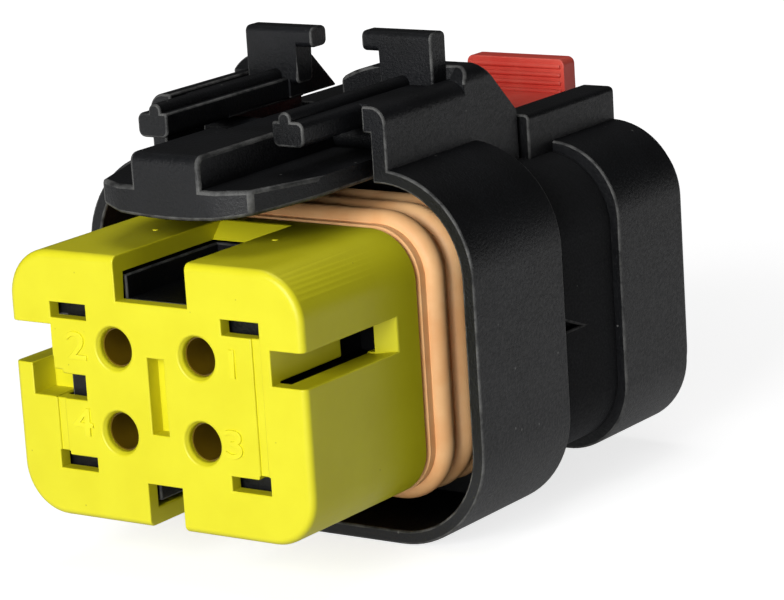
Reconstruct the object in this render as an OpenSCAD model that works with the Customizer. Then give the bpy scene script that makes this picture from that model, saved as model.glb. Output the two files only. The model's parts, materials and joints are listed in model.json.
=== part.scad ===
// Sealed four-way plug connector: a black housing with a yellow wedge lock on its core, a ribbed
// seal behind the lock, a rocking latch under a guard, a red position lock, four socket contacts,
// and a wire seal held in by a rear cap.
// X runs to the right as seen from the mating side, Y runs back from the mating face, Z is up.
// The origin is the middle of the mating face, between the four cavities.

/* [Cavities] */
// Distance between the cavities along X
pitch_x = 6.05; // [5.8:0.05:6.4]
// Distance between the cavities along Z
pitch_z = 5.05; // [4.8:0.05:5.3]
// Diameter of the pin holes in the lock's face
pin_hole_d = 2.35; // [2.1:0.05:2.6]
// Depth at which the contacts start behind the mating face
contact_y = 5; // [4.6:0.1:5.6]

/* [Wedge lock] */
// Width of the lock
lock_w = 21.3; // [20.8:0.1:21.8]
// Height of the lock
lock_h = 16.1; // [15.8:0.1:16.6]
// Length of the lock from its face to its rear edge
lock_len = 11.4; // [11:0.1:11.8]
// Corner radius of the lock's face
lock_corner = 3; // [2.6:0.1:3.4]
// Wall thickness of the lock's sides
lock_wall = 1.05; // [0.9:0.05:1.2]
// Thickness of the lock's face
lock_plate = 0.9; // [0.8:0.05:1.1]
// Rounding of the lock's front edge
lock_soft = 0.45; // [0.3:0.05:0.6]
// Width of the keyway at the top
top_key_w = 5.2; // [4.6:0.1:5.6]
// Width of the keyway at the bottom
low_key_w = 2.5; // [2:0.1:3]

/* [Housing] */
// Outside width of the shroud
shroud_w = 28.5; // [28.1:0.1:29]
// Outside height of the shroud
shroud_h = 22.8; // [22.4:0.1:23.2]
// Corner radius of the shroud
shroud_corner = 6.3; // [5.8:0.1:6.6]
// Wall thickness of the shroud
shroud_wall = 0.85; // [0.75:0.05:1]
// Length of the shroud
shroud_len = 9.6; // [9.2:0.1:10]
// Width of the rear body behind the shroud
waist_w = 26.2; // [25.8:0.1:26.6]
// Height of the rear body behind the shroud
waist_h = 18.6; // [18.4:0.1:18.8]
// Length of the rear body between the shroud and the collar
waist_len = 7.4; // [7:0.1:7.8]
// Width of the rear collar
collar_w = 27.5; // [27:0.1:28]
// Height of the rear collar
collar_h = 19.8; // [19.6:0.1:20]
// Length of the rear collar
collar_len = 7.5; // [7.2:0.1:7.8]

/* [Latch guard] */
// Clear width between the guard's side walls
guard_gap = 15.1; // [14.9:0.1:15.3]
// Thickness of the guard's side walls
guard_wall = 1.1; // [1:0.05:1.2]
// Height of the guard's roof above the cavities' centre
guard_top = 15.1; // [15:0.05:15.3]
// Distance from the middle to each rail's inner side
rail_x = 3.85; // [3.7:0.05:4]
// Width of each rail
rail_w = 2.2; // [2:0.05:2.3]
// How far the rails reach in front of the shroud
rail_reach = 4.45; // [4:0.05:5]
// Top of the clip posts above the cavities' centre
post_top = 18.05; // [17.6:0.05:18.5]
// Thickness of the clip posts
post_t = 1.6; // [1.4:0.1:1.8]

/* [Latch lever] */
// How far the lever's nose reaches in front of the shroud
nose_reach = 9.85; // [9.4:0.05:10.2]
// Width of the nose's flat front
nose_w = 7; // [6.4:0.1:7.6]
// Width of the nose where its chamfered ends stop
flange_w = 10.8; // [10:0.1:11.4]
// Width of the lever's beam
beam_w = 5; // [4.4:0.1:5.4]
// Height of the nose's underside above the cavities' centre
nose_low = 9.9; // [9.8:0.05:10]
// Width of the thumb pad
pad_w = 6; // [5.6:0.1:6.6]

/* [Position lock] */
// Width of the grip
grip_w = 7.5; // [7:0.1:8]
// Thickness of the grip
grip_t = 1.4; // [1.2:0.1:1.6]
// Travel from the open place, as modelled, to the locked place
cpa_travel = 4; // [3.6:0.1:4.2]

/* [Seals] */
// How far the front seal's ribs stand out
rib_out = 0.7; // [0.5:0.05:0.8]
// Distance between the front seal's ribs
rib_pitch = 2.15; // [2:0.05:2.3]
// Diameter of the wire holes in the wire seal
wire_hole_d = 2; // [1.6:0.1:2.4]

/* [Fits] */
// Clearance between the housing's core and the wedge lock
lock_gap = 0.25; // [0.2:0.05:0.3]
// Clearance round the latch lever's pivot stubs and the position lock's edges
slide_gap = 0.2; // [0.15:0.05:0.25]
// Clearance of the contacts in their cavities
contact_gap = 0.1; // [0.05:0.05:0.15]

/* [Hidden] */
$fn = 48;
cut = 0.5;                                // how far a cut runs past a surface

// Cavity places, numbered as seen from the mating side: 2 1 over 4 3
cavity_at = [[1, 1], [-1, 1], [1, -1], [-1, -1]];

// Core of the housing that carries the lock, the front seal and the contacts
core_w = lock_w - 2 * lock_wall - 2 * lock_gap;
core_h = lock_h - 2 * lock_wall - 2 * lock_gap;
core_corner = lock_corner - lock_wall - lock_gap;
core_y = lock_plate + lock_gap;

// Keyways of the lock
key_y = 9.5;                              // rear end of the top keyway
top_key_z = 5.4;                          // floor of the top keyway
low_key_z = -5.4;                         // roof of the bottom keyway
side_key_y = 8.3;                         // rear end of the side keyways
side_key_x = 8.3;                         // inner side of the right keyway
side_key_z = [1.4, 3.45];
left_key_x = -7.7;                        // inner side of the left keyway
left_key_z = [1.15, 3.6];
ramp = 1.4;                               // length of the ramp at a keyway's end
key_wall = 0.7;                           // thickness of the right keyway's inner wall
key_wall_y = 6.8;                         // rear end of that wall
key_lip_x = 9;                            // inner side of the lip under the right keyway
window_x = [4.95, 7.6];
window_z = [4.05, 4.97];
low_window_z = [-5.1, -4.25];
slot_w = 1.2;                             // blind slot in the middle of the face
slot_z = [-2.35, 2.2];
slot_depth = 1;

// Shroud, rear body and seal bore along Y
shroud_y = 12;
shroud_end = shroud_y + shroud_len;
web_t = 1.5;                              // wall between the core and the shroud
collar_y = shroud_end + waist_len;
collar_end = collar_y + collar_len;
collar_corner = 4.7;
notch_z = -0.6;                          // small three-cornered notch in the rear body's sides
bore_y = collar_y - 1.4;                  // floor of the wire seal's bore
bore_w = waist_w - 2.8;
bore_h = waist_h - 2.8;
bore_corner = 3.4;

// Latch guard
wall_x = guard_gap / 2;
side_x = wall_x + guard_wall;
roof_t = 1.4;
roof_low = guard_top - 0.2 - roof_t;
rail_y = shroud_y - rail_reach;
rail_top = guard_top - 0.2;
rail_low = roof_low - 0.1;
ridge_w = 0.9;
ridge_h = 0.55;
slot_end = 13.6;                          // rear end of the slot between rail and guard
post_y = 19.7;
post_end = post_y + post_t;
post_x = [3.1, 6.93];
hook_x = 1.87;                            // inner tip of each post's overhang
hook_z = 16.8;                            // underside of the overhang
hump_top = guard_top + 0.8;
hump_y = [post_end, 22.6];
guard_end = 26;
guard_foot = 12.5;                        // height where the guard's rear ramp ends
pad_slot_x = 4;                           // inner side of the roof beside the thumb pad

// Latch lever
nose_y = shroud_y - nose_reach;
nose_end = nose_y + 8.05;
flange_top = nose_low + 1.9;
wing_x = wall_x - 0.55;                   // half width of the plate behind the nose
wing_y = [nose_y + 5.3, nose_y + 14.35];
arch_r = 36;                              // radius of the nose's arched underside
catch_y = [nose_y + 2.45, nose_y + 6.45]; // window that catches the mate's lug
catch_x = 2.1;
beam_top = 13.4;
nose_top = 13.75;
pivot = [16, 12.4];                       // pivot's Y and Z
pivot_r = 0.7;
pad_y = [24, 28];
pad_low = 12.2;
pad_top = 15;
pad_crown = 0.85;                          // how far the pad's top drops at its sides

// Position lock and its guides
guide_x = [6.8, 9.2];
guide_y = guard_end + 0.4;
guide_top = 12;
plate_z = [collar_h / 2 + 0.25, collar_h / 2 + 0.85];
plate_y = [collar_y + 2, collar_end + cpa_travel - 1.1];
plate_x = guide_x[0] + 0.55;
groove_x = plate_x + slide_gap;
tongue_w = 4;
tongue_y = pad_y[1] + 0.4;
tongue_top = plate_z[1] + 0.15;           // stays under the pad when the lever is rocked
grip_y = plate_y[1] - 0.1;
grip_top = 12.95;

// Seals
seal_y = [lock_len + 0.3, 18.6];
seal_t = 1.35;                            // thickness of the front seal between its ribs
rib_r = 0.75;
wire_seal_len = 6.4;
cap_y = bore_y + wire_seal_len;
fit_gap = 0.05;                           // clearance of the pieces in the rear bore
cap_flange_t = 1.3;
cap_hole_d = 3.4;
barb = 0.4;

// Contacts, along Y from their tip
hood_d = 2.8;
hood_t = 0.2;
hood_len = 11.6;
ring_d = 3.4;
ring_len = 1.5;
socket_d = 1.6;                           // inside diameter of the socket
socket_len = 8.5;
crimp_len = 4.2;
wing_len = 3.2;
rear_bore_d = ring_d + 0.5;
ring_y = contact_y + hood_len;

// Rounded rectangle, centred
module outline(w, h, r) {
    square([w - 2 * r, h], center = true);
    square([w, h - 2 * r], center = true);
    for (x = [-1, 1], z = [-1, 1])
        translate([x * (w / 2 - r), z * (h / 2 - r)]) circle(r);
}

// Rectangle between two corners, with rounded corners when r is given
module panel(a0, b0, a1, b1, r = 0) {
    translate([(a0 + a1) / 2, (b0 + b1) / 2])
        if (r > 0) outline(a1 - a0, b1 - b0, r);
        else square([a1 - a0, b1 - b0], center = true);
}

// Extrusions of a drawing: back() runs along Y, across() along X, up() along Z
module back(y0, y1) {
    translate([0, y1, 0]) rotate([90, 0, 0]) linear_extrude(y1 - y0) children();
}
module across(x0, x1) {
    translate([x0, 0, 0]) rotate([90, 0, 90]) linear_extrude(x1 - x0) children();
}
module up(z0, z1) {
    translate([0, 0, z0]) linear_extrude(z1 - z0) children();
}
module both() {
    children();
    mirror([1, 0, 0]) children();
}
module box(p0, p1) {
    translate(p0) cube(p1 - p0);
}
module rod(y0, y1, d) {
    translate([0, y0, 0]) rotate([-90, 0, 0]) cylinder(h = y1 - y0, d = d);
}
module at_cavity(n) {
    translate([cavity_at[n - 1][0] * pitch_x / 2, 0, cavity_at[n - 1][1] * pitch_z / 2]) children();
}
module at_cavities() {
    for (n = [1:4]) at_cavity(n) children();
}

// Half of a block's section whose front edge is rounded
module soft_edge(reach, len, f) {
    square([reach, len - f]);
    square([reach - f, len]);
    translate([reach - f, len - f]) circle(f);
}

// Rounded block along Y whose front edge, at y0, is rounded by f
module soft_block(w, h, r, y0, y1, f) {
    len = y1 - y0;
    translate([0, y1, 0]) rotate([90, 0, 0]) {
        for (x = [-1, 1], z = [-1, 1])
            translate([x * (w / 2 - r), z * (h / 2 - r), 0]) rotate_extrude() soft_edge(r, len, f);
        translate([r - w / 2, 0, 0]) rotate([90, 0, 90]) linear_extrude(w - 2 * r)
            for (m = [0, 1]) mirror([m, 0]) soft_edge(h / 2, len, f);
        translate([0, h / 2 - r, 0]) rotate([90, 0, 0]) linear_extrude(h - 2 * r)
            for (m = [0, 1]) mirror([m, 0]) soft_edge(w / 2, len, f);
    }
}

// Half of a ribbed block's section: ribs stand out from a flat side
module rib_edge(reach, len, out, rib_r, first, pitch) {
    square([reach - out, len]);
    for (n = [0:2]) translate([reach - rib_r, len - first - n * pitch]) circle(rib_r);
}

// Block along Y with three round ribs all the way round; w, h and r are its size over the ribs
module ribbed_block(w, h, r, y0, y1, out, rib_r, first, pitch) {
    len = y1 - y0;
    translate([0, y1, 0]) rotate([90, 0, 0]) {
        for (x = [-1, 1], z = [-1, 1])
            translate([x * (w / 2 - r), z * (h / 2 - r), 0])
                rotate_extrude() rib_edge(r, len, out, rib_r, first, pitch);
        translate([r - w / 2, 0, 0]) rotate([90, 0, 90]) linear_extrude(w - 2 * r)
            for (m = [0, 1]) mirror([m, 0]) rib_edge(h / 2, len, out, rib_r, first, pitch);
        translate([0, h / 2 - r, 0]) rotate([90, 0, 0]) linear_extrude(h - 2 * r)
            for (m = [0, 1]) mirror([m, 0]) rib_edge(w / 2, len, out, rib_r, first, pitch);
    }
}

// Room in the core for the mate's keys and the lock's inner walls
module core_grooves() {
    box([-top_key_w / 2, 0, top_key_z - 0.1], [top_key_w / 2, key_y + 0.4, core_h]);
    box([-low_key_w / 2, 0, -core_h], [low_key_w / 2, key_y + 0.4, low_key_z + 0.1]);
    box([side_key_x - key_wall - lock_gap, 0, side_key_z[0] - 0.35],
        [core_w, key_y + 0.6, side_key_z[1] + 0.4]);
    box([key_lip_x - lock_gap, 0, side_key_z[0] - 1], [core_w, key_y + 0.6, side_key_z[0]]);
    box([-slot_w / 2 - 0.8, 0, slot_z[0] - 0.8], [slot_w / 2 + 0.8, 1.95, slot_z[1] + 0.8]);
    box([-core_w, 0, -1.2], [left_key_x + 0.35, key_y + 0.6, left_key_z[1] + 0.3]);
}

module core() {
    difference() {
        back(core_y, bore_y) outline(core_w, core_h, core_corner);
        core_grooves();
    }
}

// Side view of one guard wall, from the shroud's front to the ramp at the rear
module guard_side() {
    polygon([[shroud_y, waist_h / 2], [shroud_y, guard_top], [hump_y[0] - 0.8, guard_top],
        [hump_y[0], hump_top], [hump_y[1], hump_top], [guard_end, guard_foot],
        [guard_end, waist_h / 2 - 0.5], [shroud_end, waist_h / 2 - 0.5]]);
}

// Section of the guard's side with its outer top corner rounded
module round_top(top) {
    panel(0, 0, side_x, top, 1);
    square([side_x, top - 1.2]);
    square([side_x - 1, top]);
}

module guard() {
    both() {
        // Side wall, with its outer top corner rounded
        intersection() {
            across(wall_x, side_x) guard_side();
            union() {
                back(shroud_y, hump_y[0] - 0.8) round_top(guard_top);
                back(hump_y[0] - 0.8, guard_end) round_top(hump_top);
            }
        }
        across(wall_x - 0.52, wall_x + 0.1) panel(shroud_y, roof_low, hump_y[0], guard_top);
        // Roof beside the rail, then the raised part with the ramp
        across(rail_x, wall_x) panel(slot_end, roof_low, post_end, rail_top);
        across(pad_slot_x, wall_x + 0.1)
            polygon([[post_end - 0.2, roof_low], [post_end - 0.2, rail_top], [hump_y[0], hump_top],
                [hump_y[1], hump_top], [hump_y[1] + hump_top - roof_low, roof_low]]);
        rail();
        clip_post();
    }
}

module rail() {
    back(rail_y, post_end) {
        panel(rail_x, rail_low, rail_x + rail_w, rail_top, 0.45);
        panel(rail_x, rail_low + 0.6, rail_x + 1, rail_top);
    }
    back(rail_y, post_y + 0.5) {
        translate([rail_x + ridge_w, rail_top + ridge_h - ridge_w / 2]) circle(d = ridge_w);
        panel(rail_x + ridge_w / 2, rail_top - 0.3, rail_x + 1.5 * ridge_w,
            rail_top + ridge_h - ridge_w / 2);
    }
}

module clip_post() {
    across(post_x[0], post_x[1]) panel(post_y, rail_top - 0.4, post_end, post_top, 0.4);
    across(post_x[0] + 0.6, post_x[1]) panel(post_y, rail_low + 0.2, post_end, rail_top + 0.4);
    across(hook_x, post_x[0] + 1) panel(post_y, hook_z, post_end, post_top, 0.4);
}

// Guides in which the position lock slides
module cpa_guides() {
    both() difference() {
        back(guide_y, collar_end) panel(guide_x[0], waist_h / 2 - 0.8, guide_x[1], guide_top, 0.35);
        box([guide_x[0] - cut, guide_y - cut, plate_z[0] - slide_gap],
            [groove_x, collar_end + cut, plate_z[1] + slide_gap]);
    }
}

module housing() {
    color("#1c1c1e") difference() {
        union() {
            difference() {
                union() {
                    back(shroud_y, shroud_end) outline(shroud_w, shroud_h, shroud_corner);
                    guard();
                }
                back(shroud_y - cut, shroud_end - web_t)
                    outline(shroud_w - 2 * shroud_wall, shroud_h - 2 * shroud_wall,
                        shroud_corner - shroud_wall);
                // Room for the latch lever, over the wall that joins core and shroud
                box([-wall_x, shroud_y - cut, nose_low - 1], [wall_x, shroud_end - web_t, roof_low]);
                box([-wall_x, shroud_end - web_t - cut, pivot[1] - 1.7],
                    [wall_x, guard_end + cut, roof_low]);
            }
            core();
            back(shroud_end - cut, collar_y + cut) outline(waist_w, waist_h, 4.5);
            back(collar_y, collar_end) outline(collar_w, collar_h, collar_corner);
            cpa_guides();
        }
        // Contact cavities: pin entry, hood bore and rear bore
        at_cavities() {
            rod(0, contact_y, pin_hole_d);
            rod(contact_y - 0.1, ring_y, hood_d + 2 * contact_gap);
            rod(ring_y, bore_y + cut, rear_bore_d);
        }
        back(bore_y, collar_end + cut) outline(bore_w, bore_h, bore_corner);
        both() across(waist_w / 2 - 0.6, waist_w / 2 + cut)
            polygon([[shroud_end, notch_z], [shroud_end, notch_z + 1.35], [shroud_end + 3.5, notch_z]]);
        both() box([bore_w / 2 - cut, cap_y + 0.5, -2.2], [bore_w / 2 + barb, cap_y + 1.8, 2.2]);
    }
}

// Plate under the nose: its front corners are chamfered, its sides widen towards the guard, and
// its underside is arched
module nose_plate() {
    side = [[nose_w / 2, nose_y], [flange_w / 2, nose_y + 0.95], [wing_x, wing_y[0]],
        [wing_x, wing_y[1]]];
    intersection() {
        up(nose_low - cut, flange_top)
            polygon([for (p = side) p, for (n = [3:-1:0]) [-side[n][0], side[n][1]]]);
        back(nose_y - cut, wing_y[1] + cut)
            polygon([[-wing_x - cut, flange_top + cut], for (n = [-5:5]) let(x = n / 5 * (wing_x + cut))
                [x, nose_low + x * x / (2 * arch_r)], [wing_x + cut, flange_top + cut]]);
    }
}

// Rocking lever: hook nose in front, beam through the guard, thumb pad behind
module latch_lever() {
    color("#232325") difference() {
        union() {
            across(-beam_w / 2, beam_w / 2) {
                panel(nose_y, flange_top - 1, nose_end, nose_top, 0.6);
                panel(nose_y, flange_top - 1, nose_y + 3, flange_top);
                panel(nose_end - 2, flange_top - 0.5, pad_y[0] + 0.5, beam_top);
            }
            nose_plate();
            translate([0, pivot[0], pivot[1]]) rotate([0, 90, 0])
                cylinder(h = guard_gap - 2 * slide_gap, r = pivot_r, center = true);
            // Thumb pad with a crowned top
            intersection() {
                across(-pad_w / 2, pad_w / 2) panel(pad_y[0], pad_low, pad_y[1], pad_top, 0.4);
                crown_r = (pad_w * pad_w / 4 + pad_crown * pad_crown) / (2 * pad_crown);
                translate([0, 0, pad_top - crown_r])
                    rod(pad_y[0] - cut, pad_y[1] + cut, 2 * crown_r, $fn = 96);
            }
        }
        box([-catch_x, catch_y[0], nose_low - cut], [catch_x, catch_y[1], nose_top - 1]);
    }
}

module lock_ramp(axis_z, lean) {
    polygon([[axis_z, 0], [axis_z + ramp, lean], [axis_z, lean]]);
}

module wedge_lock() {
    color("#f4ee1c") difference() {
        union() {
            difference() {
                soft_block(lock_w, lock_h, lock_corner, 0, lock_len, lock_soft);
                back(lock_plate, lock_len + cut)
                    outline(lock_w - 2 * lock_wall, lock_h - 2 * lock_wall, lock_corner - lock_wall);
            }
            // Inner wall of the right keyway and floor of the left pocket
            box([side_key_x - key_wall, lock_plate - 0.1, side_key_z[0] + 0.05],
                [side_key_x, key_wall_y, side_key_z[1] + 0.15]);
            box([key_lip_x, lock_plate - 0.1, side_key_z[0] - 0.7],
                [lock_w / 2 - 0.4, side_key_y + ramp, side_key_z[0] + 0.1]);
            box([-slot_w / 2 - 0.5, lock_plate - 0.1, slot_z[0] - 0.5],
                [slot_w / 2 + 0.5, slot_depth + 0.65, slot_z[1] + 0.5]);
            box([left_key_x - 2, lock_plate - 0.1, -0.95], [left_key_x + 0.1, 2.6, left_key_z[0]]);
        }
        // Keyways with a ramp at the end
        box([-top_key_w / 2, -cut, top_key_z], [top_key_w / 2, key_y, lock_h]);
        across(-top_key_w / 2, top_key_w / 2) translate([0, lock_h / 2 - lock_wall])
            lock_ramp(key_y - 0.01, lock_wall + cut);
        box([-low_key_w / 2, -cut, -lock_h], [low_key_w / 2, key_y, low_key_z]);
        box([side_key_x, -cut, side_key_z[0]], [lock_w, side_key_y, side_key_z[1]]);
        up(side_key_z[0], side_key_z[1]) translate([lock_w / 2 - lock_wall, 0]) mirror([1, -1])
            lock_ramp(side_key_y - 0.01, lock_wall + cut);
        box([-lock_w, -cut, left_key_z[0]], [left_key_x, side_key_y, left_key_z[1]]);
        box([left_key_x - 1.6, -cut, -0.75], [left_key_x + 0.05, 2, left_key_z[0] + cut]);
        // Windows in the face, the lower pair with a raised step at the outer end
        box([left_key_x, -cut, -0.8], [-5.35, 2, 0.7]);
        box([left_key_x, -cut, -0.8], [-7, 2, 0.93]);
        both() {
            box([window_x[0], -cut, window_z[0]], [window_x[1], lock_plate + cut, window_z[1]]);
            box([window_x[0], -cut, low_window_z[0]],
                [window_x[1] + 0.1, lock_plate + cut, low_window_z[1]]);
            box([window_x[0] + 2, -cut, low_window_z[0]],
                [window_x[1] + 0.1, lock_plate + cut, low_window_z[1] + 0.2]);
        }
        // Blind slot in the middle and shallow strips beside the windows
        box([-slot_w / 2, -cut, slot_z[0]], [slot_w / 2, slot_depth, slot_z[1]]);
        box([window_x[1] - 0.55, -cut, low_window_z[1]], [window_x[1], 0.12, window_z[0] + 0.05]);
        box([-window_x[1], -cut, low_window_z[1]], [0.55 - window_x[1], 0.12, -0.7]);
        at_cavities() {
            rod(-cut, lock_plate + cut, pin_hole_d);
            translate([0, -0.01, 0]) rotate([-90, 0, 0])
                cylinder(h = 0.3, d1 = pin_hole_d + 0.4, d2 = pin_hole_d);
        }
    }
}

module front_seal() {
    reach = seal_t + rib_out;
    color("#efb27a") difference() {
        ribbed_block(core_w + 2 * reach, core_h + 2 * reach, core_corner + reach,
            seal_y[0], seal_y[1], rib_out, rib_r, 1.3, rib_pitch);
        back(seal_y[0] - cut, seal_y[1] + cut) outline(core_w, core_h, core_corner);
    }
}

module wire_seal() {
    color("#e9a870") difference() {
        ribbed_block(bore_w - 2 * fit_gap, bore_h - 2 * fit_gap, bore_corner - fit_gap,
            bore_y, cap_y, 0.45, 0.7, 1.2, 2);
        at_cavities() rod(bore_y - cut, cap_y + cut, wire_hole_d);
    }
}

module rear_cap() {
    color("#19191b") difference() {
        union() {
            back(cap_y, collar_end + 0.1)
                outline(bore_w - 2 * fit_gap, bore_h - 2 * fit_gap, bore_corner - fit_gap);
            mirror([0, 1, 0]) soft_block(collar_w - 1.3, collar_h - 1.3, collar_corner - 0.4,
                -(collar_end + cap_flange_t), -collar_end, 0.3);
            // Barbs that snap into the housing
            both() across(bore_w / 2 - 0.5, bore_w / 2 + barb - fit_gap)
                panel(cap_y + 0.55, -2.1, cap_y + 1.75, 2.1);
        }
        at_cavities() {
            rod(cap_y - cut, collar_end + 5, cap_hole_d);
            translate([0, collar_end + cap_flange_t - 0.6, 0]) rotate([-90, 0, 0])
                cylinder(h = 0.61, d1 = cap_hole_d, d2 = cap_hole_d + 1);
        }
    }
}

// Red slider: a plate in the guides, a tongue that goes under the thumb pad, and an upright grip
module position_lock() {
    color("#e0352c") {
        box([-plate_x, plate_y[0], plate_z[0]], [plate_x, plate_y[1], plate_z[1]]);
        box([-tongue_w / 2, tongue_y, plate_z[0]], [tongue_w / 2, plate_y[0] + 1, tongue_top]);
        back(grip_y, grip_y + grip_t) {
            panel(-grip_w / 2, plate_z[0], grip_w / 2, grip_top, 0.45);
            panel(-grip_w / 2, plate_z[0], grip_w / 2, plate_z[0] + 1);
        }
        for (n = [0:4])
            translate([0, grip_y, grip_top - 0.5 - n * 0.55]) rotate([0, 90, 0])
                cylinder(h = grip_w - 0.5, r = 0.16, center = true);
    }
}

// Stamped socket contact: sprung socket, stop ring, wire barrel and insulation wings
module contact(n) {
    body_d = hood_d - 2 * hood_t - 0.1;
    crimp_y = ring_y + ring_len;
    wing_y = crimp_y + crimp_len;
    color("#b9b7b2") at_cavity(n) difference() {
        union() {
            rod(contact_y + 0.4, ring_y + cut, body_d);
            rod(ring_y, crimp_y, ring_d);
            rod(crimp_y - 0.1, wing_y + 0.4, 2.5);
            rod(wing_y + 0.4, wing_y + wing_len, 3.1);
        }
        rod(contact_y, contact_y + socket_len, socket_d);
        box([-0.15, contact_y, -body_d], [0.15, contact_y + socket_len - 1.5, body_d]);
        rod(crimp_y + 0.3, wing_y + wing_len + cut, 1.9);
        rod(wing_y + 0.9, wing_y + wing_len + cut, 2.5);
        box([-2, crimp_y + 0.4, 0.4], [2, wing_y + 0.2, 3]);
        box([-0.7, wing_y + 0.4, 0], [0.7, wing_y + wing_len + cut, 3]);
    }
}

// Steel hood over the socket, with its rim turned in
module contact_hood(n) {
    color("#c9cccd") at_cavity(n) difference() {
        rod(contact_y, ring_y, hood_d);
        rod(contact_y + 0.3, ring_y + cut, hood_d - 2 * hood_t);
        rod(contact_y - cut, contact_y + 0.5, socket_d + 0.1);
    }
}

housing();
latch_lever();
wedge_lock();
front_seal();
wire_seal();
rear_cap();
position_lock();
contact(1);  // contact_1
contact(2);  // contact_2
contact(3);  // contact_3
contact(4);  // contact_4
contact_hood(1);  // contact_hood_1
contact_hood(2);  // contact_hood_2
contact_hood(3);  // contact_hood_3
contact_hood(4);  // contact_hood_4
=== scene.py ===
# Sealed four-way plug connector: finishes, small details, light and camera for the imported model.
# Lengths are in millimetres in the dictionaries and become metres in the scene; colours are sRGB.
import json
import math

import bmesh
import bpy
from mathutils import Matrix, Vector


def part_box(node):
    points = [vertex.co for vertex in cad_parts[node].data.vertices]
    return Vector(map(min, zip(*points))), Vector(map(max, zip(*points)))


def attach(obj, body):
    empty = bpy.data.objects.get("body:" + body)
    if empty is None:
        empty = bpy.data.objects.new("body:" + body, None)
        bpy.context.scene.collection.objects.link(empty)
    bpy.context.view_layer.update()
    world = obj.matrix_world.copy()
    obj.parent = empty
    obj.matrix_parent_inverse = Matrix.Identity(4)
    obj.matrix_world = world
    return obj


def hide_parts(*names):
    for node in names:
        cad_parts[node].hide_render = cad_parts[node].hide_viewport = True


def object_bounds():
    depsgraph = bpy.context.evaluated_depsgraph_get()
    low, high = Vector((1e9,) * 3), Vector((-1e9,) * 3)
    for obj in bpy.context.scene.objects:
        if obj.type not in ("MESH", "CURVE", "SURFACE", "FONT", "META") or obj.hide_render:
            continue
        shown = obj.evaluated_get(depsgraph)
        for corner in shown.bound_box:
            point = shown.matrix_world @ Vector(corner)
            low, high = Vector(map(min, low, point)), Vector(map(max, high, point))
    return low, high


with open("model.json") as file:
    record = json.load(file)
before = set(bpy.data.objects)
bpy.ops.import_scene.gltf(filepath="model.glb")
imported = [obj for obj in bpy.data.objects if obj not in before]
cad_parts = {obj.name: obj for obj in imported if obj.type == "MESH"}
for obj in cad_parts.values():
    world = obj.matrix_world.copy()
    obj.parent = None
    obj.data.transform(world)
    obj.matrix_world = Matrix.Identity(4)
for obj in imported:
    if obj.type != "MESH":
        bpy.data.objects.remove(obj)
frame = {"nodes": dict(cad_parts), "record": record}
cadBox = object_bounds()
mm = 0.001
nodes = frame["nodes"]
bodyOf = {n: body for body, names in frame["record"]["behaviour"]["bodies"].items() for n in names}


def link(tree, source, target):
    tree.links.new(source, target)


def addNode(tree, kind, inputs=None, **settings):
    made = tree.nodes.new(kind)
    for key, value in settings.items():
        setattr(made, key, value)
    for key, value in (inputs or {}).items():
        if isinstance(value, bpy.types.NodeSocket):
            link(tree, value, made.inputs[key])
        else:
            made.inputs[key].default_value = value
    return made


def mathNode(tree, operation, a, b=0.0, clamp=False):
    return addNode(tree, "ShaderNodeMath", {0: a, 1: b}, operation=operation,
                   use_clamp=clamp).outputs[0]


def mixColour(tree, factor, a, b):
    # The colour sockets of the Mix node are the inputs 6 and 7 and the output 2
    return addNode(tree, "ShaderNodeMix", {0: factor, 6: a, 7: b}, data_type="RGBA").outputs[2]


def rangeNode(tree, value, low, high, toLow=0.0, toHigh=1.0):
    made = addNode(tree, "ShaderNodeMapRange", {"Value": value, "From Min": low, "From Max": high,
                                                "To Min": toLow, "To Max": toHigh})
    return made.outputs[0]


def noiseNode(tree, where, scale, detail, rough=0.5, stretch=None):
    if stretch:
        mapping = addNode(tree, "ShaderNodeMapping", {"Vector": where, "Scale": stretch})
        where = mapping.outputs[0]
    made = addNode(tree, "ShaderNodeTexNoise", {"Vector": where, "Scale": scale, "Detail": detail,
                                                "Roughness": rough})
    return made.outputs["Fac"]


def colour(r, g, b):
    # sRGB from 0 to 255 becomes linear
    def linear(c):
        c /= 255
        return c / 12.92 if c <= 0.04045 else ((c + 0.055) / 1.055) ** 2.4
    return (linear(r), linear(g), linear(b), 1)


def startMaterial(name):
    # The last value is a coordinate that counts millimetres on the object
    material = bpy.data.materials.new(name)
    material.use_nodes = True
    tree = material.node_tree
    shader = tree.nodes["Principled BSDF"]
    coordinate = addNode(tree, "ShaderNodeTexCoord")
    mapping = addNode(tree, "ShaderNodeMapping", {"Vector": coordinate.outputs["Object"],
                                                  "Scale": (1 / mm, 1 / mm, 1 / mm)})
    return material, tree, shader, mapping.outputs[0]


def cloudTone(tree, where, p):
    cloud = noiseNode(tree, where, **p["cloud"])
    return mixColour(tree, rangeNode(tree, cloud, *p["cloudSpread"]), colour(*p["main"]),
                     colour(*p["second"]))


def rimMask(tree, noise, spread, strength):
    # The rounded rims carry the attribute, and the noise breaks it up; the lighter rims it gives
    # are partly wear and partly a painted highlight along the edges
    rims = addNode(tree, "ShaderNodeAttribute", attribute_name="edgeWearAndSheen").outputs["Fac"]
    broken = mathNode(tree, "MULTIPLY", rims, rangeNode(tree, noise, *spread), True)
    return mathNode(tree, "MULTIPLY", broken, strength)


def speckMask(tree, where, scale, reach, channel, share, strength):
    # Small dots in the few cells whose random colour is over the share
    cells = addNode(tree, "ShaderNodeTexVoronoi", {"Vector": where, "Scale": scale})
    near = rangeNode(tree, cells.outputs["Distance"], *reach)
    picked = addNode(tree, "ShaderNodeSeparateColor", {"Color": cells.outputs["Color"]})
    dots = mathNode(tree, "MULTIPLY", near,
                    mathNode(tree, "GREATER_THAN", picked.outputs[channel], share))
    return mathNode(tree, "MULTIPLY", dots, strength)


def grainRough(tree, grain, p):
    return rangeNode(tree, grain, *p["grainSpread"], *p["rough"])


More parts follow.
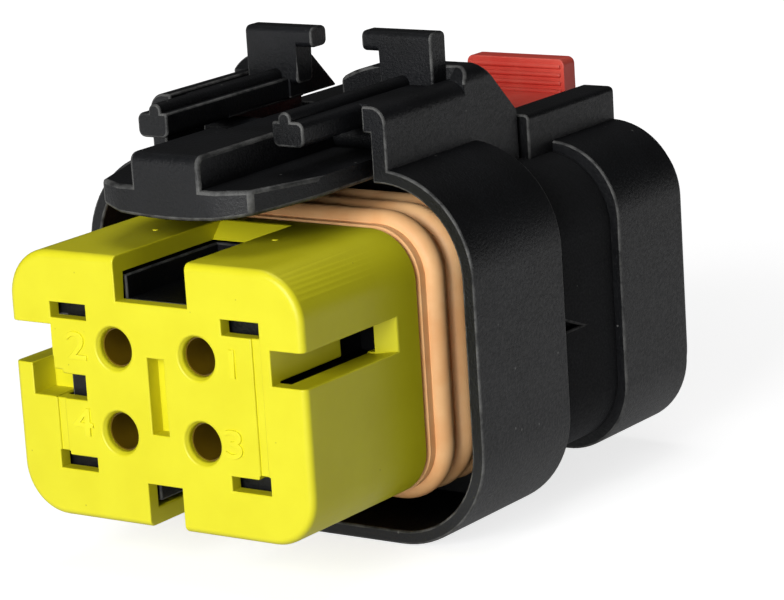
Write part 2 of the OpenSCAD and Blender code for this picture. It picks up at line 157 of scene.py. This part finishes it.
def finishSurface(tree, shader, base, rough, height, p):
    link(tree, base, shader.inputs["Base Color"])
    link(tree, rough, shader.inputs["Roughness"])
    shader.inputs["Specular IOR Level"].default_value = p["gloss"]
    bump = addNode(tree, "ShaderNodeBump", {"Height": height, "Strength": p["bump"],
                                            "Distance": p["grainDepth"] * mm})
    link(tree, bump.outputs[0], shader.inputs["Normal"])


# The worn grey on the rounded rims is partly wear and partly a painted highlight along the edges
blackPlastic = {
    "main": (12, 13, 15), "second": (22, 23, 26), "wornAndSheen": (122, 122, 120), "dust": (150, 150, 148),
    "cloud": {"scale": 0.22, "detail": 3}, "cloudSpread": (0.35, 0.65),
    "grain": {"scale": 5.5, "detail": 3, "rough": 0.6}, "grainSpread": (0.3, 0.7),
    "rough": (0.38, 0.54), "gloss": 0.35, "bump": 0.5, "grainDepth": 0.07,
    "rub": {"scale": 0.9, "detail": 3, "rough": 0.6}, "rubSpread": (0.3, 0.65), "wearAndSheen": 0.62,
    "wornRough": 0.2,
    "specks": {"scale": 0.9, "reach": (0.09, 0.04), "channel": 0, "share": 0.84, "strength": 0.6},
    "bandMiddle": 25.3, "bandHalf": 3.6, "bandHeight": 9.32, "bandRough": 0.45,
    "scratch": {"scale": 2.2, "detail": 4, "rough": 0.65, "stretch": (0.3, 3.5, 3.5)},
    "scratchDepth": 0.35,
}


def waistBand(tree, where, p):
    # 1 on the waist between the shroud and the collar, which is more matt
    axes = addNode(tree, "ShaderNodeSeparateXYZ", {"Vector": where}).outputs
    along = mathNode(tree, "ABSOLUTE", mathNode(tree, "SUBTRACT", axes[1], p["bandMiddle"]))
    up = mathNode(tree, "ABSOLUTE", axes[2])
    return mathNode(tree, "MULTIPLY", mathNode(tree, "LESS_THAN", along, p["bandHalf"]),
                    mathNode(tree, "LESS_THAN", up, p["bandHeight"]))


def makeBlackPlastic(name, p):
    material, tree, shader, where = startMaterial(name)
    grain = noiseNode(tree, where, **p["grain"])
    base = cloudTone(tree, where, p)
    # Lighter rounded rims: partly wear, partly a painted highlight
    wornAndSheen = rimMask(tree, noiseNode(tree, where, **p["rub"]), p["rubSpread"], p["wearAndSheen"])
    base = mixColour(tree, wornAndSheen, base, colour(*p["wornAndSheen"]))
    base = mixColour(tree, speckMask(tree, where, **p["specks"]), base, colour(*p["dust"]))
    bandRough = mathNode(tree, "MULTIPLY", waistBand(tree, where, p), p["bandRough"])
    rough = mathNode(tree, "ADD", grainRough(tree, grain, p), bandRough, True)
    wornRough = mathNode(tree, "MULTIPLY", wornAndSheen, p["wornRough"])
    rough = mathNode(tree, "ADD", rough, wornRough, True)
    scratch = noiseNode(tree, where, **p["scratch"])
    height = mathNode(tree, "ADD", grain, mathNode(tree, "MULTIPLY", scratch, p["scratchDepth"]))
    finishSurface(tree, shader, base, rough, height, p)
    return material


yellowPlastic = {
    "main": (243, 236, 40), "second": (238, 230, 34), "speck": (150, 138, 20),
    "cloud": {"scale": 0.3, "detail": 3}, "cloudSpread": (0.35, 0.65),
    "grain": {"scale": 5.0, "detail": 3, "rough": 0.6}, "grainSpread": (0.3, 0.7),
    "rough": (0.34, 0.46), "gloss": 0.45, "bump": 0.35, "grainDepth": 0.010,
    "specks": {"scale": 0.75, "reach": (0.05, 0.02), "channel": 1, "share": 0.86, "strength": 0.5},
    "wave": {"scale": 0.9, "detail": 2}, "waveDepth": 1.2,
}
# Darker amber copy of the lock's yellow for the linings inside the pin holes: painted shade for
# the dim inside of the holes
sleeveShadeAmber = dict(yellowPlastic, main=(112, 88, 6), second=(96, 74, 4))


def makeYellowPlastic(name, p):
    material, tree, shader, where = startMaterial(name)
    grain = noiseNode(tree, where, **p["grain"])
    base = cloudTone(tree, where, p)
    base = mixColour(tree, speckMask(tree, where, **p["specks"]), base, colour(*p["speck"]))
    wave = noiseNode(tree, where, **p["wave"])
    height = mathNode(tree, "ADD", grain, mathNode(tree, "MULTIPLY", wave, p["waveDepth"]))
    finishSurface(tree, shader, base, grainRough(tree, grain, p), height, p)
    return material


sealSilicone = {
    "main": (252, 200, 142), "second": (246, 184, 124), "bloom": (250, 214, 170),
    "cloud": {"scale": 0.5, "detail": 4}, "cloudSpread": (0.35, 0.65),
    "grain": {"scale": 4.0, "detail": 4, "rough": 0.65}, "grainSpread": (0.3, 0.7),
    "rough": (0.42, 0.58), "gloss": 0.4, "bump": 0.4, "grainDepth": 0.012,
    "bloomSpread": (0.62, 0.75), "bloomStrength": 0.25,
}


def makeSilicone(name, p):
    material, tree, shader, where = startMaterial(name)
    grain = noiseNode(tree, where, **p["grain"])
    bloom = rangeNode(tree, grain, *p["bloomSpread"], 0.0, p["bloomStrength"])
    base = mixColour(tree, bloom, cloudTone(tree, where, p), colour(*p["bloom"]))
    finishSurface(tree, shader, base, grainRough(tree, grain, p), grain, p)
    return material


# The worn pink on the rounded rims is partly wear and partly a painted highlight along the edges
redPlastic = {
    "main": (255, 104, 88), "second": (250, 84, 70), "wornAndSheen": (252, 150, 136),
    "cloud": {"scale": 0.4, "detail": 3}, "cloudSpread": (0.35, 0.65),
    "grain": {"scale": 6.0, "detail": 3, "rough": 0.6}, "grainSpread": (0.3, 0.7),
    "rough": (0.36, 0.5), "gloss": 0.5, "bump": 0.4, "grainDepth": 0.012,
    "rubSpread": (0.4, 0.7), "wearAndSheen": 0.35,
}


def makeRedPlastic(name, p):
    material, tree, shader, where = startMaterial(name)
    grain = noiseNode(tree, where, **p["grain"])
    # Lighter rounded rims: partly wear, partly a painted highlight
    wornAndSheen = rimMask(tree, grain, p["rubSpread"], p["wearAndSheen"])
    base = mixColour(tree, wornAndSheen, cloudTone(tree, where, p), colour(*p["wornAndSheen"]))
    finishSurface(tree, shader, base, grainRough(tree, grain, p), grain, p)
    return material


# The grain of the steel is drawn along the contacts
contactSteel = {
    "main": (206, 204, 198), "second": (160, 156, 148),
    "cloud": {"scale": 0.9, "detail": 3}, "cloudSpread": (0.35, 0.7),
    "grain": {"scale": 3.0, "detail": 4, "rough": 0.7, "stretch": (6, 0.4, 6)},
    "grainSpread": (0.3, 0.7), "rough": (0.2, 0.38), "gloss": 0.5, "bump": 0.25,
    "grainDepth": 0.006,
}
hoodSteel = dict(contactSteel, main=(222, 222, 220), second=(190, 190, 188), rough=(0.14, 0.26))


def makeMetal(name, p):
    material, tree, shader, where = startMaterial(name)
    grain = noiseNode(tree, where, **p["grain"])
    shader.inputs["Metallic"].default_value = 1
    finishSurface(tree, shader, cloudTone(tree, where, p), grainRough(tree, grain, p), grain, p)
    return material


finish = {
    "black": makeBlackPlastic("housingBlack", blackPlastic),
    "yellow": makeYellowPlastic("lockYellow", yellowPlastic),
    "sleeve": makeYellowPlastic("sleeveShadeAmber", sleeveShadeAmber),
    "peach": makeSilicone("sealPeach", sealSilicone),
    "red": makeRedPlastic("lockRed", redPlastic),
    "contact": makeMetal("contactSteel", contactSteel),
    "hood": makeMetal("hoodSteel", hoodSteel),
}
print("finishes made:", len(finish))


def placePiece(name, data, body):
    piece = bpy.data.objects.new(name, data)
    bpy.context.scene.collection.objects.link(piece)
    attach(piece, body)
    return piece


def plainMesh(holder):
    # The evaluated result as a mesh of its own, and the holder goes
    bpy.context.view_layer.update()
    settled = holder.evaluated_get(bpy.context.evaluated_depsgraph_get())
    data = bpy.data.meshes.new_from_object(settled)
    bpy.data.objects.remove(holder)
    return data


# The moulded pieces are copies of their nodes with rounded edges
mouldings = {
    "housing": {"piece": "housingShell", "finish": "black", "slot": "housing_black",
                "radius": 0.14},
    "latch_lever": {"piece": "latchShell", "finish": "black", "slot": "housing_black",
                    "radius": 0.24},
    "wedge_lock": {"piece": "wedgeShell", "finish": "yellow", "slot": "lock_yellow",
                   "radius": 0.10},
    "rear_cap": {"piece": "rearCapShell", "finish": "black", "slot": "housing_black",
                 "radius": 0.14},
    "position_lock": {"piece": "positionLockShell", "finish": "red", "slot": "position_lock_red",
                      "radius": 0.09},
}
# Lengths in millimetres and angles in degrees
edgeWork = {
    "joinWithin": 0.0015, "flatWithin": 0.6, "tidyWithin": 0.0005,
    "sharpFrom": 32, "roomForRadius": 1.3, "segments": 2, "profile": 0.5,
    "flatTurn": 35, "rimTurn": 60, "leadShare": 0.3, "shadowOffset": 0.2,
}


def cleanCopy(nodeName):
    # One closed mesh with its flat faces joined
    mesh = bmesh.new()
    mesh.from_mesh(nodes[nodeName].data)
    joinWithin = edgeWork["joinWithin"] * mm
    bmesh.ops.remove_doubles(mesh, verts=mesh.verts, dist=joinWithin)
    bmesh.ops.dissolve_degenerate(mesh, edges=mesh.edges, dist=joinWithin)
    bmesh.ops.dissolve_limit(mesh, angle_limit=math.radians(edgeWork["flatWithin"]),
                             verts=mesh.verts, edges=mesh.edges)
    return mesh


def roundableEdges(mesh, radius):
    outward = {edge for edge in mesh.edges if len(edge.link_faces) == 2 and edge.is_convex
               and edge.calc_face_angle(0) > math.radians(edgeWork["sharpFrom"])}
    room = radius * edgeWork["roomForRadius"]
    cramped = set()                              # edges with no room for the rounding beside them
    for edge in outward:
        for corner in edge.verts:
            for other in corner.link_edges:
                if (other not in outward and other.calc_length() < room
                        and any(face in edge.link_faces for face in other.link_faces)):
                    cramped.add(edge)
    return list(outward - cramped)


def evenNormals(mesh, wearAndSheen):
    # Corner normals that keep the flats flat and turn smoothly over the rounded rims
    flatReach = math.cos(math.radians(edgeWork["flatTurn"]))
    rimReach = math.cos(math.radians(edgeWork["rimTurn"]))
    normals = []
    for face in mesh.faces:
        rim = face[wearAndSheen] > 0.5
        for corner in face.loops:
            around = corner.vert.link_loops
            plain = [other for other in around if other.face[wearAndSheen] < 0.5]
            lead, reach, group = face.normal, flatReach, plain
            if rim and plain:
                lead = max((other.face.normal for other in plain), key=face.normal.dot)
                if lead.dot(face.normal) < edgeWork["leadShare"]:
                    lead, reach, group = face.normal, rimReach, list(around)
            elif rim:
                reach, group = rimReach, list(around)
            total = Vector()
            for other in group:
                if other.face.normal.dot(lead) > reach:
                    total += other.face.normal * other.calc_angle()
            normals.append(total.normalized() if total.length > 1e-9 else face.normal.copy())
    return normals


def makeMoulding(nodeName, p):
    mesh = cleanCopy(nodeName)
    # The rounded faces are marked, and the finishes paint them lighter: partly wear, partly a
    # painted highlight
    wearAndSheen = mesh.faces.layers.float.new("edgeWearAndSheen")
    radius = p["radius"] * mm
    edges = roundableEdges(mesh, radius)
    made = bmesh.ops.bevel(mesh, geom=edges, offset=radius, offset_type="OFFSET",
                           segments=edgeWork["segments"], profile=edgeWork["profile"],
                           affect="EDGES", clamp_overlap=False)
    for face in made["faces"]:
        face[wearAndSheen] = 1
    bmesh.ops.dissolve_degenerate(mesh, edges=mesh.edges, dist=edgeWork["tidyWithin"] * mm)
    for face in mesh.faces:
        face.smooth = True
    mesh.normal_update()
    mesh.faces.index_update()
    normals = evenNormals(mesh, wearAndSheen)
    data = bpy.data.meshes.new(p["piece"])
    mesh.to_mesh(data)
    mesh.free()
    data.normals_split_custom_set(normals)
    data.materials.append(finish[p["finish"]])
    piece = placePiece(p["piece"], data, bodyOf[nodeName])
    piece.shadow_terminator_shading_offset = edgeWork["shadowOffset"]
    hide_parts(nodeName)
    print(p["piece"], len(data.polygons), "faces,", len(edges), "edges rounded")


for nodeName, moulding in mouldings.items():
    makeMoulding(nodeName, moulding)


# The nodes whose shape is right as packed keep it and get their finish
dressed = {"front_seal": "peach", "wire_seal": "peach"}
for number in (1, 2, 3, 4):
    dressed[f"contact_{number}"] = "contact"
    dressed[f"contact_hood_{number}"] = "hood"


def dressNode(nodeName, material):
    if not nodes[nodeName].material_slots:
        nodes[nodeName].data.materials.append(material)
    for place in nodes[nodeName].material_slots:
        place.material = material


for nodeName, finishName in dressed.items():
    dressNode(nodeName, finish[finishName])
print("carried-over nodes dressed:", len(dressed))


# Cavity numbers on the lock's face
numerals = {
    "height": 1.75, "fontShare": 1.35, "widen": 1.3, "raise": 0.08, "rim": 0.03,
    "places": {"1": (5.6, 2.35), "2": (-5.75, 2.4), "3": (5.35, -2.4), "4": (-5.7, -2.2)},
}


def makeNumeral(digit, place, p):
    curve = bpy.data.curves.new("numeralCurve" + digit, "FONT")
    curve.body = digit
    curve.size = p["height"] * p["fontShare"] * mm
    curve.extrude = p["raise"] * mm
    curve.bevel_depth = p["rim"] * mm
    curve.align_x, curve.align_y = "CENTER", "CENTER"
    holder = bpy.data.objects.new("numeralHolder" + digit, curve)
    bpy.context.scene.collection.objects.link(holder)
    data = plainMesh(holder)
    upright = Matrix.Rotation(math.radians(90), 4, "X")
    data.transform(Matrix.Translation((place[0] * mm, 0, place[1] * mm)) @ upright
                   @ Matrix.Diagonal((p["widen"], 1, 1, 1)))
    data.materials.clear()
    data.materials.append(finish["yellow"])
    placePiece("numeral" + digit, data, "lock")


for digit, place in numerals["places"].items():
    makeNumeral(digit, place, numerals)
print("numerals made:", len(numerals["places"]))


# Small raised pips on the lock's top
pips = {"radius": 0.2, "rise": 0.07, "segments": 20, "rings": 10,
        "places": ((-4.6, 6.65), (4.1, 6.8))}


def makePips(p):
    tree = bpy.data.node_groups.new("pipsOnPoints", "GeometryNodeTree")
    sockets = tree.interface
    sockets.new_socket("Geometry", in_out="OUTPUT", socket_type="NodeSocketGeometry")
    sockets.new_socket("Points", in_out="INPUT", socket_type="NodeSocketGeometry")
    radius = sockets.new_socket("Pip Radius", in_out="INPUT", socket_type="NodeSocketFloat")
    flatness = sockets.new_socket("Pip Flatness", in_out="INPUT", socket_type="NodeSocketFloat")
    given = addNode(tree, "NodeGroupInput").outputs
    dome = addNode(tree, "GeometryNodeMeshUVSphere",
                   {"Segments": p["segments"], "Rings": p["rings"], "Radius": given["Pip Radius"]})
    soft = addNode(tree, "GeometryNodeSetShadeSmooth", {"Geometry": dome.outputs["Mesh"]})
    size = addNode(tree, "ShaderNodeCombineXYZ", {"X": 1, "Y": 1, "Z": given["Pip Flatness"]})
    spots = addNode(tree, "GeometryNodeMeshToPoints", {"Mesh": given["Points"]})
    copies = addNode(tree, "GeometryNodeInstanceOnPoints",
                     {"Points": spots.outputs[0], "Instance": soft.outputs[0],
                      "Scale": size.outputs[0]})
    joined = addNode(tree, "GeometryNodeRealizeInstances", {"Geometry": copies.outputs[0]})
    coated = addNode(tree, "GeometryNodeSetMaterial", {"Geometry": joined.outputs[0],
                                                       "Material": finish["yellow"]})
    link(tree, coated.outputs[0], addNode(tree, "NodeGroupOutput").inputs[0])
    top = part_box("wedge_lock")[1].z
    points = bpy.data.meshes.new("pipPoints")
    points.from_pydata([(x * mm, y * mm, top) for x, y in p["places"]], [], [])
    holder = bpy.data.objects.new("pipHolder", points)
    bpy.context.scene.collection.objects.link(holder)
    modifier = holder.modifiers.new("pips", "NODES")
    modifier.node_group = tree
    modifier[radius.identifier] = p["radius"] * mm
    modifier[flatness.identifier] = p["rise"] / p["radius"]
    placePiece("lockPips", plainMesh(holder), "lock")


makePips(pips)
print("pips made:", len(pips["places"]))


# Sleeves that line the pin holes behind the lock's plate, in the darker amber copy of the yellow
# that paints the shade inside the holes
sleeves = {"outer": 1.165, "inner": 1.09, "from": 0.55, "to": 4.5, "sides": 40, "sharpFrom": 40,
           "places": [(x, z) for x in (-3.025, 3.025) for z in (-2.525, 2.525)]}


def makeSleeves(p):
    mesh = bmesh.new()
    sides = p["sides"]
    turns = [2 * math.pi * n / sides for n in range(sides)]
    # The rings run round the wall's section: out and in at the front, then in and out at the back
    profile = ((p["from"], p["outer"]), (p["from"], p["inner"]), (p["to"], p["inner"]),
               (p["to"], p["outer"]))
    for x, z in p["places"]:
        rings = [[mesh.verts.new(((x + r * math.cos(a)) * mm, y * mm, (z + r * math.sin(a)) * mm))
                  for a in turns] for y, r in profile]
        for n, ring in enumerate(rings):
            other = rings[(n + 1) % len(rings)]
            for k in range(sides):
                after = (k + 1) % sides
                face = mesh.faces.new((ring[k], ring[after], other[after], other[k]))
                face.smooth = n in (1, 3)        # the walls are round and the two ends are flat
    bmesh.ops.recalc_face_normals(mesh, faces=mesh.faces)
    data = bpy.data.meshes.new("pinSleeves")
    mesh.to_mesh(data)
    mesh.free()
    data.set_sharp_from_angle(angle=math.radians(p["sharpFrom"]))
    data.materials.append(finish["sleeve"])
    placePiece("pinSleeves", data, "lock")


makeSleeves(sleeves)
print("sleeves made:", len(sleeves["places"]))


floorPale = {
    "size": 2000, "gap": 0.05, "tone": (205, 205, 205), "rough": 0.9,
    "glow": (0.76, 1.0), "glowReach": (60, 260),
}


def makeFloor(p):
    half = p["size"] / 2 * mm
    height = cadBox[0].z - p["gap"] * mm         # just clear of the flat underside
    data = bpy.data.meshes.new("floor")
    data.from_pydata([(-half, -half, height), (half, -half, height), (half, half, height),
                      (-half, half, height)], [], [(0, 1, 2, 3)])
    material = bpy.data.materials.new("floorPale")
    material.use_nodes = True
    tree = material.node_tree
    shader = tree.nodes["Principled BSDF"]
    shader.inputs["Base Color"].default_value = colour(*p["tone"])
    shader.inputs["Roughness"].default_value = p["rough"]
    shader.inputs["Specular IOR Level"].default_value = 0
    # White to the eye and in reflections, while the tone below it takes the part's shadow
    path = addNode(tree, "ShaderNodeLightPath").outputs
    seen = mathNode(tree, "ADD", path["Is Camera Ray"], path["Is Glossy Ray"], True)
    seen = mathNode(tree, "ADD", seen, path["Is Transmission Ray"], True)
    shader.inputs["Emission Color"].default_value = (1, 1, 1, 1)
    place = addNode(tree, "ShaderNodeTexCoord").outputs["Object"]
    away = addNode(tree, "ShaderNodeVectorMath", {0: place}, operation="LENGTH").outputs["Value"]
    near, far = p["glowReach"]
    glow = rangeNode(tree, away, near * mm, far * mm, *p["glow"])
    link(tree, mathNode(tree, "MULTIPLY", seen, glow), shader.inputs["Emission Strength"])
    # Open from below, so that the underside can be looked at
    below = addNode(tree, "ShaderNodeNewGeometry").outputs["Backfacing"]
    clear = addNode(tree, "ShaderNodeBsdfTransparent").outputs[0]
    mixed = addNode(tree, "ShaderNodeMixShader", {0: below, 1: shader.outputs[0], 2: clear})
    link(tree, mixed.outputs[0], tree.nodes["Material Output"].inputs["Surface"])
    data.materials.append(material)
    floor = bpy.data.objects.new("floor", data)
    bpy.context.scene.collection.objects.link(floor)


# Power is in watts
lamps = {
    "keyLamp": {"from": (35, -340, 140), "aim": (0, 14, 0), "size": 190, "power": 1.07},
    "topLamp": {"from": (-10, 50, 325), "aim": (0, 14, 0), "size": 180, "power": 0.22},
    "sideLamp": {"from": (150, -340, 60), "aim": (0, 14, 0), "size": 130, "power": 0.36},
}


def makeLamp(name, p):
    data = bpy.data.lights.new(name, "AREA")
    data.shape = "SQUARE"
    data.size = p["size"] * mm
    data.energy = p["power"]
    lamp = bpy.data.objects.new(name, data)
    bpy.context.scene.collection.objects.link(lamp)
    lamp.location = Vector(p["from"]) * mm
    aim = Vector(p["aim"]) * mm - lamp.location
    lamp.rotation_euler = aim.to_track_quat("-Z", "Y").to_euler()


softRoom = {"tone": 0.9, "strength": 0.07}       # the strength that lights the part


def makeWorld(p):
    world = bpy.data.worlds.new("softRoom")
    bpy.context.scene.world = world
    world.use_nodes = True
    tree = world.node_tree
    background = tree.nodes["Background"]
    path = addNode(tree, "ShaderNodeLightPath").outputs
    seen = mathNode(tree, "ADD", path["Is Camera Ray"], path["Is Transmission Ray"], True)
    background.inputs["Color"].default_value = (p["tone"], p["tone"], p["tone"], 1)
    link(tree, rangeNode(tree, seen, 0, 1, p["strength"], 1 / p["tone"]),
         background.inputs["Strength"])


# The three directions are where the camera's right, its down and its lens point
view = {
    "place": (126.920, -154.356, 52.121), "focal": 164.58, "sensor": 36, "clip": (0.01, 10),
    "right": (0.82135, 0.56699, -0.06244), "down": (0.08148, -0.22495, -0.97096),
    "ahead": (-0.56457, 0.79241, -0.23096),
}


def makeCamera(p):
    data = bpy.data.cameras.new("camera")
    data.sensor_width = p["sensor"]
    data.lens = p["focal"]
    data.clip_start, data.clip_end = p["clip"]   # metres
    camera = bpy.data.objects.new("camera", data)
    bpy.context.scene.collection.objects.link(camera)
    right, down, ahead = (Vector(p[key]) for key in ("right", "down", "ahead"))
    turn = Matrix((right, -down, -ahead)).transposed().to_4x4()
    camera.matrix_world = Matrix.Translation(Vector(p["place"]) * mm) @ turn
    bpy.context.scene.camera = camera


makeFloor(floorPale)
for lampName, lamp in lamps.items():
    makeLamp(lampName, lamp)
makeWorld(softRoom)
makeCamera(view)
bpy.context.scene.view_settings.view_transform = "Standard"
print("studio made")
